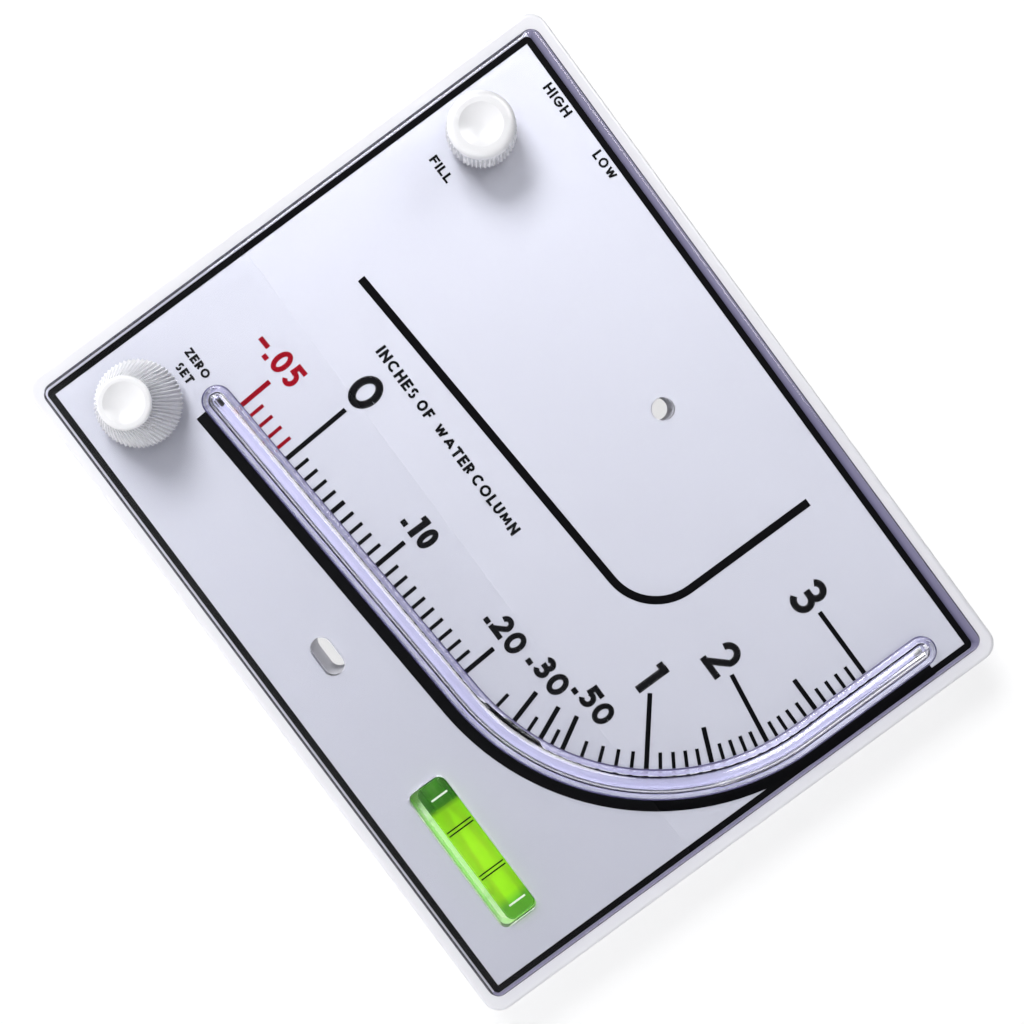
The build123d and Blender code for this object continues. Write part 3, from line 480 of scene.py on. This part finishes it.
# The sheet that carries the painted rim shade.
rim_shade_overhang, rim_shade_level, rim_shade_t, rim_shade_corner, corner_steps = 0.00055, 0.019005, 0.00012, 0.0029, 8
border_side, border_top, border_foot, slack = 0.0927, 0.0725, -0.0739, 1e-6
rim_shade_w = half_cover_w + rim_shade_overhang - border_side
bpy.ops.object.select_all(action="DESELECT")
bpy.ops.mesh.primitive_plane_add(size=1, location=(0, -rim_shade_level, 0), rotation=(pi / 2, 0, 0))
cover_rim_shade = bpy.context.object
cover_rim_shade.name = "cover_rim_shade"
cover_rim_shade.scale = (2 * (half_cover_w + rim_shade_overhang), 2 * (half_cover_h + rim_shade_overhang), 1)
bpy.ops.object.transform_apply(location=True, rotation=True, scale=True)
bpy.ops.object.mode_set(mode="EDIT")
bpy.ops.mesh.select_all(action="SELECT")
bpy.ops.mesh.bevel(offset=rim_shade_corner, segments=corner_steps, affect="VERTICES")
bpy.ops.mesh.select_all(action="SELECT")
bpy.ops.mesh.inset(thickness=rim_shade_w)
bpy.ops.mesh.delete(type="ONLY_FACE")
bpy.ops.object.mode_set(mode="OBJECT")
inner_reach = half_cover_h + rim_shade_overhang - rim_shade_w
for corner in cover_rim_shade.data.vertices:
    if abs(corner.co.z) < inner_reach + slack and abs(corner.co.x) < border_side + slack:
        corner.co.z += border_top - inner_reach if corner.co.z > 0 else border_foot + inner_reach
bpy.ops.object.modifier_add(type="SOLIDIFY")
cover_rim_shade.modifiers["Solidify"].thickness = rim_shade_t
cover_rim_shade.modifiers["Solidify"].offset = 1.0
bpy.ops.object.modifier_apply(modifier="Solidify")
cover_rim_shade.data.materials.append(rim_painted_shade)
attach(cover_rim_shade, "case")

# Scale plate: thin aluminium sheet, chemically brightened and coated with a satin lacquer,
# which leaves a faint rolling grain along it.
satin_plate = finish("satin_lacquered_aluminium")
place = add_node(satin_plate, "ShaderNodeTexCoord").outputs["Object"]
along = add_node(satin_plate, "ShaderNodeMapping", {"Vector": place})
along.inputs["Scale"].default_value = (60, 60, 5200)
rolling = add_node(
    satin_plate, "ShaderNodeTexNoise", {"Vector": along.outputs[0]}, Scale=1.0, Detail=3.0
)
plate_bump = add_node(
    satin_plate, "ShaderNodeBump", {"Height": rolling.outputs["Fac"]}, Strength=0.03, Distance=0.00001
)
plate_rough = add_node(
    satin_plate, "ShaderNodeMapRange", {"Value": rolling.outputs["Fac"]}, To_Min=0.48, To_Max=0.54
)
cloud = add_node(satin_plate, "ShaderNodeTexNoise", {"Vector": place}, Scale=14.0, Detail=2.0)
plate_tint = add_node(
    satin_plate, "ShaderNodeMix", {"Factor": cloud.outputs["Fac"]}, data_type="RGBA"
)
plate_tint.inputs[COLOUR_A].default_value = colour("CBCDD4")
plate_tint.inputs[COLOUR_B].default_value = colour("CFD1D8")
plate_skin = add_node(
    satin_plate, "ShaderNodeBsdfPrincipled",
    {
        "Base_Color": plate_tint.outputs[COLOUR_OUT], "Roughness": plate_rough.outputs[0],
        "Normal": plate_bump.outputs[0],
    },
    Metallic=0.45,
)
add_node(satin_plate, "ShaderNodeOutputMaterial", {"Surface": plate_skin.outputs[0]})
dress("scale_plate", satin_plate)


# Printed scale: silk-screened ink, dense black for the border, guide line, band and marks
# above zero, and red for the marks below it.
def ink(name, deep, thin):
    """Dense screen ink with a faint mottle where the mesh of the screen let it through."""
    material = finish(name)
    place = add_node(material, "ShaderNodeTexCoord").outputs["Object"]
    screen = add_node(material, "ShaderNodeTexNoise", {"Vector": place}, Scale=1800.0, Detail=1.0)
    tint = add_node(
        material, "ShaderNodeMix", {"Factor": screen.outputs["Fac"]}, data_type="RGBA"
    )
    tint.inputs[COLOUR_A].default_value = colour(deep)
    tint.inputs[COLOUR_B].default_value = colour(thin)
    skin = add_node(
        material, "ShaderNodeBsdfPrincipled", {"Base_Color": tint.outputs[COLOUR_OUT]},
        Roughness=0.6, IOR=1.45, Specular_IOR_Level=0.1,
    )
    add_node(material, "ShaderNodeOutputMaterial", {"Surface": skin.outputs[0]})
    return material


black_ink = ink("screen_ink_black", "040406", "08080B")
red_ink = ink("screen_ink_red", "A80018", "B40220")
dress("scale_print_black", black_ink)
dress("scale_print_red", red_ink)

# Lettering: numerals and words screened in the same ink, drawn as strokes of one width
# in a plain geometric face. Each letter has its share of the width, and its strokes.
LETTERS = {
    "A": (1.0, ["d 0 0 .5 1", "d .5 1 1 0", "l .24 .28 .76 .28"]),
    "C": (0.85, ["a .58 .5 .58 .5 48 312"]),
    "E": (0.55, ["l 0 0 0 1", "l 0 0 1 0", "l 0 1 1 1", "l 0 .52 .85 .52"]),
    "F": (0.55, ["l 0 0 0 1", "l 0 1 1 1", "l 0 .5 .8 .5"]),
    "G": (0.95, ["a .5 .5 .5 .5 42 355", "l .55 .46 1 .46"]),
    "H": (0.72, ["l 0 0 0 1", "l 1 0 1 1", "l 0 .52 1 .52"]),
    "I": (0.0, ["l 0 0 0 1"]),
    "L": (0.5, ["l 0 0 0 1", "l 0 0 1 0"]),
    "M": (1.02, ["d 0 0 .13 1", "d .13 1 .5 .12", "d .5 .12 .87 1", "d .87 1 1 0"]),
    "N": (0.75, ["l 0 0 0 1", "d 0 1 1 0", "l 1 0 1 1"]),
    "O": (1.0, ["a .5 .5 .5 .5 0 360"]),
    "R": (0.58, ["l 0 0 0 1", "l 0 1 .5 1", "a .5 .75 .5 .25 90 -90", "l 0 .5 .5 .5", "d .42 .5 1 0"]),
    "S": (0.56, ["a .5 .755 .46 .245 35 255", "a .5 .26 .5 .26 75 -145"]),
    "T": (0.68, ["l 0 1 1 1", "l .5 0 .5 1"]),
    "U": (0.68, ["l 0 .36 0 1", "l 1 .36 1 1", "a .5 .36 .5 .36 180 360"]),
    "W": (1.25, ["d 0 1 .26 0", "d .26 0 .5 .95", "d .5 .95 .74 0", "d .74 0 1 1"]),
    "Z": (0.62, ["l 0 1 1 1", "d 1 1 0 0", "l 0 0 1 0"]),
    "0": (0.79, ["a .5 .5 .5 .5 0 360"]),
    "1": (0.32, ["l 1 0 1 1", "l 0.15 1 1 1"]),
    "2": (0.64, ["a .5 .69 .49 .31 172 -30", "d .93 .56 .02 0", "l 0 0 1 0"]),
    "3": (0.62, ["a .47 .765 .43 .235 155 -88", "a .47 .27 .52 .27 88 -150", "l .4 .535 .5 .535"]),
    "5": (0.62, ["l .17 1 .92 1", "d .15 1.02 .06 .5", "a .46 .315 .54 .315 128 -142"]),
    ".": (0.0, ["l 0 0 0 0"]),
    "-": (0.46, ["l 0 .42 1 .42"]),
    " ": (0.42, []),
}


def stroke_points(code, width, height, pen):
    """Centre line of one stroke in millimetres, from its code in a letter's unit box: l and d
    are lines, l carried on by half a pen at its ends, and a is an arc between two angles."""
    kind, *numbers = code.split()
    n = [float(v) for v in numbers]
    across, up = width, height - pen
    if kind == "a":
        steps = 28
        angles = [radians(n[4] + (n[5] - n[4]) * i / steps) for i in range(steps + 1)]
        return [((n[0] + n[2] * cos(a)) * across, (n[1] + n[3] * sin(a)) * up) for a in angles]
    start, end = Vector((n[0] * across, n[1] * up)), Vector((n[2] * across, n[3] * up))
    if kind == "l":
        run = (end - start).normalized() if end != start else Vector((1, 0))
        start, end = start - run * pen / 2, end + run * pen / 2
    return [tuple(start), tuple(end)]


def lettering(name, text, left, right, bottom, height, pen, material, tilt=0.0):
    """One word on a base line, as a thin layer of ink on the plate. Sizes in millimetres."""
    small_word, small_gap, large_gap = 4, 0.15, 0.09
    gap = (small_gap if height < small_word else large_gap) * height
    spare = right - left - gap * (len(text) - 1) - pen * len(text)
    unit = spare / sum(LETTERS[letter][0] for letter in text)
    strokes = bpy.data.curves.new(name, "CURVE")
    strokes.dimensions = "3D"
    strokes.bevel_depth = pen / 2
    strokes.bevel_resolution = 1
    strokes.use_fill_caps = True
    x = left + pen / 2
    for letter in text:
        width = LETTERS[letter][0] * unit
        for code in LETTERS[letter][1]:
            points = stroke_points(code, width, height, pen)
            line = strokes.splines.new("POLY")
            line.points.add(len(points) - 1)
            for point, (u, v) in zip(line.points, points):
                point.co = (x + u, 0, bottom + pen / 2 + v, 1)
        x += width + pen + gap
    piece = bpy.data.objects.new(name, strokes)
    bpy.context.collection.objects.link(piece)
    pick(piece)
    bpy.ops.object.convert(target="MESH")
    bpy.ops.object.shade_flat()
    piece = bpy.context.object
    middle = Vector(((left + right) / 2, 0, bottom + height / 2))
    plate_front, ink_layer = 18.9, 0.12
    flat = Matrix.Diagonal((1, ink_layer / pen, 1, 1))
    turn = (
        Matrix.Translation(middle) @ Matrix.Rotation(-radians(tilt), 4, "Y")
        @ Matrix.Translation(-middle)
    )
    layer = Matrix.Translation((0, -(plate_front + ink_layer / 2), 0))
    piece.data.transform(Matrix.Scale(0.001, 4) @ layer @ turn @ flat)
    piece.data.materials.clear()
    piece.data.materials.append(material)
    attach(piece, "case")


label_pen, caption_pen = 0.64, 0.78
for name, text, left, right, bottom, height, pen in (
    ("word_fill", "FILL", -82.6, -75.4, 35.0, 2.35, label_pen),
    ("word_zero", "ZERO", -80.5, -72.2, -40.85, 2.35, label_pen),
    ("word_set", "SET", -79.1, -73.6, -44.85, 2.35, label_pen),
    ("word_high", "HIGH", -80.2, -71.1, 67.6, 2.6, label_pen),
    ("word_low", "LOW", -60.0, -52.3, 67.6, 2.6, label_pen),
    ("word_inches", "INCHES", -53.0, -38.3, -3.2, 2.95, caption_pen),
    ("word_of", "OF", -36.9, -32.0, -3.2, 2.95, caption_pen),
    ("word_water", "WATER", -29.6, -15.3, -3.2, 2.95, caption_pen),
    ("word_column", "COLUMN", -14.2, 3.2, -3.2, 2.95, caption_pen),
):
    lettering(name, text, left, right, bottom, height, pen, black_ink)
lettering(
    "reading_minus_05", "-.05", -72.4, -58.1, -26.2, 6.4, 1.5, red_ink, tilt=2.5
)
for name, text, left, right, bottom, height, pen in (
    ("reading_0", "0", -50.2, -42.6, -15.8, 9.7, 2.3),
    ("reading_10", ".10", -16.0, -6.6, -23.3, 6.3, 1.7),
    ("reading_20", ".20", 15.4, 27.3, -21.2, 6.2, 1.65),
    ("reading_30", ".30", 29.8, 41.8, -18.9, 6.2, 1.65),
    ("reading_50", ".50", 42.3, 54.3, -14.2, 6.2, 1.65),
    ("reading_1", "1", 49.7, 53.2, -0.9, 9.3, 2.1),
    ("reading_2", "2", 55.1, 61.6, 15.9, 9.8, 2.05),
    ("reading_3", "3", 55.2, 61.9, 41.8, 10.1, 2.1),
):
    lettering(name, text, left, right, bottom, height, pen, black_ink)

# Spirit level: a block of green acrylic with a bore for the spirit. Its colour along it is
# painted light and shade: painted shade darkens its ends, the left end most, and painted light
# brightens it along the bore, where the light comes through it.
green_acrylic = finish("green_acrylic_painted_light")
vial_rays = add_node(green_acrylic, "ShaderNodeLightPath")
lit_vial = add_node(
    green_acrylic, "ShaderNodeMath",
    {0: vial_rays.outputs["Is Shadow Ray"], 1: vial_rays.outputs["Is Diffuse Ray"]},
    operation="MAXIMUM",
)
place = add_node(green_acrylic, "ShaderNodeTexCoord").outputs["Object"]
along_vial = add_node(green_acrylic, "ShaderNodeSeparateXYZ", {"Vector": place})
light_edge_noise = add_node(green_acrylic, "ShaderNodeTexNoise", {"Vector": place}, Scale=60.0, Detail=1.0)
wave = add_node(
    green_acrylic, "ShaderNodeMath", {0: light_edge_noise.outputs["Fac"], 2: along_vial.outputs["X"]},
    operation="MULTIPLY_ADD",
)
wave_reach, vial_left, vial_right = 0.0012, 0.0400, 0.0798
wave.inputs[1].default_value = wave_reach
share = add_node(
    green_acrylic, "ShaderNodeMapRange", {"Value": wave.outputs[0]},
    From_Min=vial_left, From_Max=vial_right,
)
# Painted shade at the ends and painted light along the bore, with a wavering edge between.
painted_light_along_vial = add_node(green_acrylic, "ShaderNodeValToRGB", {"Fac": share.outputs[0]})
set_stops(painted_light_along_vial, [
    (0.0, "5E9A48"), (0.12, "4C8A38"), (0.17, "44802E"), (0.21, "B0E830"), (0.5, "C6F040"),
    (0.86, "BAEC38"), (0.92, "80C44C"),
])
vial_skin = add_node(
    green_acrylic, "ShaderNodeBsdfPrincipled", {"Base_Color": painted_light_along_vial.outputs["Color"]},
    Roughness=0.02, IOR=1.49, Transmission_Weight=0.55,
)
vial_way = add_node(green_acrylic, "ShaderNodeBsdfTransparent", Color=colour("D8F4A8"))
vial_mix = add_node(
    green_acrylic, "ShaderNodeMixShader",
    {0: lit_vial.outputs[0], 1: vial_skin.outputs[0], 2: vial_way.outputs[0]},
)
add_node(green_acrylic, "ShaderNodeOutputMaterial", {"Surface": vial_mix.outputs[0]})
smooth_copy("level_vial", green_acrylic, "case")

# The spirit in the level's bore is fluorescent green, and its emission is a painted glow that
# makes it brighter than what lights it.
green_spirit = finish("green_spirit_painted_glow")
place = add_node(green_spirit, "ShaderNodeTexCoord").outputs["Object"]
swirl = add_node(green_spirit, "ShaderNodeTexNoise", {"Vector": place}, Scale=90.0, Detail=1.0)
spirit_tint = add_node(
    green_spirit, "ShaderNodeMix", {"Factor": swirl.outputs["Fac"]}, data_type="RGBA"
)
spirit_tint.inputs[COLOUR_A].default_value = colour("BCF41C")
spirit_tint.inputs[COLOUR_B].default_value = colour("C8FA2C")
# Emission: painted glow.
spirit = add_node(
    green_spirit, "ShaderNodeBsdfPrincipled",
    {
        "Base_Color": spirit_tint.outputs[COLOUR_OUT],
        "Emission_Color": spirit_tint.outputs[COLOUR_OUT],
    },
    Roughness=0.1, IOR=1.36, Transmission_Weight=0.25, Emission_Strength=0.6,
)
add_node(green_spirit, "ShaderNodeOutputMaterial", {"Surface": spirit.outputs[0]})
smooth_copy("vial_liquid", green_spirit, "case")

# The plug that closes the bore is moulded in darker green, and the two pairs of lines on the
# level's front are screened in the black ink of the scale.
green_plug = finish("moulded_green_plug")
place = add_node(green_plug, "ShaderNodeTexCoord").outputs["Object"]
grain = add_node(green_plug, "ShaderNodeTexNoise", {"Vector": place}, Scale=400.0, Detail=2.0)
plug_tint = add_node(green_plug, "ShaderNodeMix", {"Factor": grain.outputs["Fac"]}, data_type="RGBA")
plug_tint.inputs[COLOUR_A].default_value = colour("2E6A28")
plug_tint.inputs[COLOUR_B].default_value = colour("387830")
plug_skin = add_node(
    green_plug, "ShaderNodeBsdfPrincipled", {"Base_Color": plug_tint.outputs[COLOUR_OUT]},
    Roughness=0.35, IOR=1.5,
)
add_node(green_plug, "ShaderNodeOutputMaterial", {"Surface": plug_skin.outputs[0]})
smooth_copy("vial_plug", green_plug, "case")
dress("vial_marks", black_ink)

# Knobs: the zero knob and the fill plug are moulded in glossy white acetal, with crisp
# flutes and a dished, polished end.
white_acetal = finish("glossy_white_acetal")
place = add_node(white_acetal, "ShaderNodeTexCoord").outputs["Object"]
haze = add_node(white_acetal, "ShaderNodeTexNoise", {"Vector": place}, Scale=160.0, Detail=3.0)
acetal_tint = add_node(
    white_acetal, "ShaderNodeMix", {"Factor": haze.outputs["Fac"]}, data_type="RGBA"
)
acetal_tint.inputs[COLOUR_A].default_value = colour("F2F2F4")
acetal_tint.inputs[COLOUR_B].default_value = colour("F8F8F9")
acetal_rough = add_node(
    white_acetal, "ShaderNodeMapRange", {"Value": haze.outputs["Fac"]}, To_Min=0.2, To_Max=0.3
)
acetal_skin = add_node(
    white_acetal, "ShaderNodeBsdfPrincipled",
    {"Base_Color": acetal_tint.outputs[COLOUR_OUT], "Roughness": acetal_rough.outputs[0]}, IOR=1.48,
)
add_node(white_acetal, "ShaderNodeOutputMaterial", {"Surface": acetal_skin.outputs[0]})
smooth_copy("zero_set_knob", white_acetal, "zero_knob", 25)
smooth_copy("fill_plug", white_acetal, "fill_plug", 25)

# Brass: the bushes, the zero screw and the two port fittings are turned from bar, which
# leaves fine rings, and have dulled a little.
turned_brass = finish("turned_brass")
place = add_node(turned_brass, "ShaderNodeTexCoord").outputs["Object"]
tarnish = add_node(turned_brass, "ShaderNodeTexNoise", {"Vector": place}, Scale=240.0, Detail=4.0)
brass_tint = add_node(
    turned_brass, "ShaderNodeMix", {"Factor": tarnish.outputs["Fac"]}, data_type="RGBA"
)
brass_tint.inputs[COLOUR_A].default_value = colour("D9B36A")
brass_tint.inputs[COLOUR_B].default_value = colour("C79C50")
brass_rough = add_node(
    turned_brass, "ShaderNodeMapRange", {"Value": tarnish.outputs["Fac"]}, To_Min=0.22, To_Max=0.4
)
brass_skin = add_node(
    turned_brass, "ShaderNodeBsdfPrincipled",
    {"Base_Color": brass_tint.outputs[COLOUR_OUT], "Roughness": brass_rough.outputs[0]}, Metallic=1.0,
)
add_node(turned_brass, "ShaderNodeOutputMaterial", {"Surface": brass_skin.outputs[0]})
for node in (
    "zero_set_screw", "zero_set_bushing", "fill_bushing", "high_port_fitting", "low_port_fitting",
):
    dress(node, turned_brass)

# Port threads: each socket is tapped for a small pipe connector, 27 threads to the inch. The
# ridge between the turns of the tap is wound round the bore by a screw modifier.
tap_pitch, tap_turns, tap_height, port_bore_r, root = 0.00094, 8, 0.0005, 0.0043, 0.0001
ridge_half_w, steps_a_turn, ridge_angle = tap_pitch * 0.42, 40, radians(30)
for port in ("high", "low"):
    low_corner, high_corner = (Vector(corner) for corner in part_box(f"{port}_port_fitting"))
    bpy.ops.object.select_all(action="DESELECT")
    bpy.ops.mesh.primitive_circle_add(vertices=3, radius=tap_height)
    ridge = bpy.context.object
    ridge.name = f"{port}_port_thread"
    profile = [
        (port_bore_r - tap_height, 0, 0),
        (port_bore_r + root, 0, ridge_half_w),
        (port_bore_r + root, 0, -ridge_half_w),
    ]
    for corner, at in zip(ridge.data.vertices, profile):
        corner.co = at
    bpy.ops.object.modifier_add(type="SCREW")
    winding = ridge.modifiers["Screw"]
    winding.screw_offset = -tap_pitch
    winding.iterations = tap_turns
    winding.steps = winding.render_steps = steps_a_turn
    bpy.ops.object.modifier_apply(modifier="Screw")
    bpy.ops.object.mode_set(mode="EDIT")
    bpy.ops.mesh.select_all(action="SELECT")
    bpy.ops.mesh.fill_holes(sides=3)
    bpy.ops.mesh.select_all(action="SELECT")
    bpy.ops.mesh.normals_make_consistent(inside=False)
    bpy.ops.object.mode_set(mode="OBJECT")
    bpy.ops.object.shade_smooth_by_angle(angle=ridge_angle)
    middle = (low_corner + high_corner) / 2
    mouth = Vector((middle.x, middle.y, high_corner.z - tap_pitch))
    ridge.data.transform(Matrix.Translation(mouth))
    ridge.data.materials.append(turned_brass)
    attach(ridge, "case")

# Rubber: the plunger's ring, the plug's washer and the well's gasket are black nitrile.
black_nitrile = finish("black_nitrile")
place = add_node(black_nitrile, "ShaderNodeTexCoord").outputs["Object"]
bloom = add_node(black_nitrile, "ShaderNodeTexNoise", {"Vector": place}, Scale=500.0, Detail=3.0)
rubber_tint = add_node(
    black_nitrile, "ShaderNodeMix", {"Factor": bloom.outputs["Fac"]}, data_type="RGBA"
)
rubber_tint.inputs[COLOUR_A].default_value = colour("18181A")
rubber_tint.inputs[COLOUR_B].default_value = colour("242427")
rubber_skin = add_node(
    black_nitrile, "ShaderNodeBsdfPrincipled", {"Base_Color": rubber_tint.outputs[COLOUR_OUT]},
    Roughness=0.65, IOR=1.5,
)
add_node(black_nitrile, "ShaderNodeOutputMaterial", {"Surface": rubber_skin.outputs[0]})
for node in ("plunger_o_ring", "fill_plug_washer", "well_gasket"):
    dress(node, black_nitrile)

# Inner pieces: the well, its lid, the tubes, blocks, plunger and floats are moulded in
# natural acetal, which is milky and slightly waxy.
natural_acetal = finish("natural_acetal")
place = add_node(natural_acetal, "ShaderNodeTexCoord").outputs["Object"]
milk = add_node(natural_acetal, "ShaderNodeTexNoise", {"Vector": place}, Scale=120.0, Detail=2.0)
milk_tint = add_node(
    natural_acetal, "ShaderNodeMix", {"Factor": milk.outputs["Fac"]}, data_type="RGBA"
)
milk_tint.inputs[COLOUR_A].default_value = colour("E2E2E4")
milk_tint.inputs[COLOUR_B].default_value = colour("ECECED")
milk_skin = add_node(
    natural_acetal, "ShaderNodeBsdfPrincipled", {"Base_Color": milk_tint.outputs[COLOUR_OUT]},
    Roughness=0.42, IOR=1.48,
)
add_node(natural_acetal, "ShaderNodeOutputMaterial", {"Surface": milk_skin.outputs[0]})
for node in (
    "zero_set_plunger", "fill_neck", "fill_tube", "well_body", "well_lid", "well_air_tube",
    "pressure_manifold", "low_pressure_tube", "tube_outlet_block", "high_trap_float", "low_trap_float",
):
    dress(node, natural_acetal)

# End highlights: a short white bar near each end of the spirit level's front is a painted
# highlight, where the flat ends of the bore catch the light.
end_highlight_paint = ink("painted_highlight_white", "E8F2E0", "F4F8F0")
line_w, line_l, line_t = 0.0005, 0.0048, 0.00008
line_round, round_steps = line_t * 0.4, 2
vial_front, line_z = 0.0214, -0.0555
for end, line_x in (("left", 0.04405), ("right", 0.0763)):
    bpy.ops.object.select_all(action="DESELECT")
    bpy.ops.mesh.primitive_cube_add(
        size=1, location=(line_x, -(vial_front + line_t / 2), line_z)
    )
    end_highlight = bpy.context.object
    end_highlight.name = f"vial_end_highlight_{end}"
    end_highlight.scale = (line_w, line_t, line_l)
    bpy.ops.object.transform_apply(location=True, rotation=True, scale=True)
    bpy.ops.object.modifier_add(type="BEVEL")
    end_highlight.modifiers["Bevel"].width = line_round
    end_highlight.modifiers["Bevel"].segments = round_steps
    bpy.ops.object.modifier_apply(modifier="Bevel")
    end_highlight.data.materials.append(end_highlight_paint)
    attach(end_highlight, "case")
